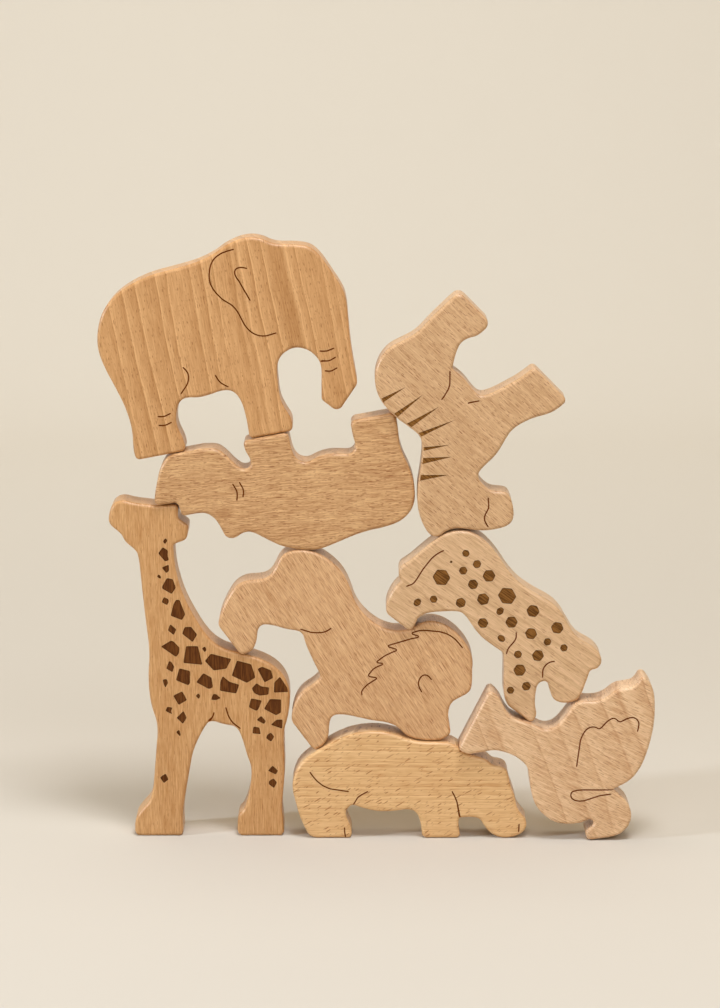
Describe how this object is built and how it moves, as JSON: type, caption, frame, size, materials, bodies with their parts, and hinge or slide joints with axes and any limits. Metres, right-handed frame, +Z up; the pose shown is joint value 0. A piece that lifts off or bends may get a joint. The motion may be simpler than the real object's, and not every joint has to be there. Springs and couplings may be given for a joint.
{
  "type": "stacking balance game",
  "caption": "Wooden balance game: flat beech animals with rounded edges and engraved lines, patches, spots and stripes, stacked on edge into one leaning pile",
  "frame": {"origin": "centre of the pile's footprint box on the table: midway between its ends along X and between the foremost and the rearmost board along Y, at the height of the table", "axes": "+X runs along the pile to the right as the engraved fronts are seen, -Y is the side of the engraved fronts, +Z is up"},
  "size_m": [0.2438, 0.026, 0.2671],
  "materials": {
    "elephant_beech": "sanded and oiled beech",
    "rhino_beech": "sanded and oiled beech",
    "zebra_beech": "sanded and oiled beech",
    "giraffe_beech": "sanded and oiled beech",
    "lion_beech": "sanded and oiled beech",
    "hippo_beech": "sanded and oiled beech",
    "leopard_beech": "sanded and oiled beech",
    "ostrich_beech": "sanded and oiled beech"
  },
  "bodies": {
    "root": {"elephant": "elephant_beech", "rhino": "rhino_beech", "zebra": "zebra_beech", "giraffe": "giraffe_beech", "lion": "lion_beech", "hippo": "hippo_beech", "leopard": "leopard_beech", "ostrich": "ostrich_beech"}
  },
  "joints": []
}
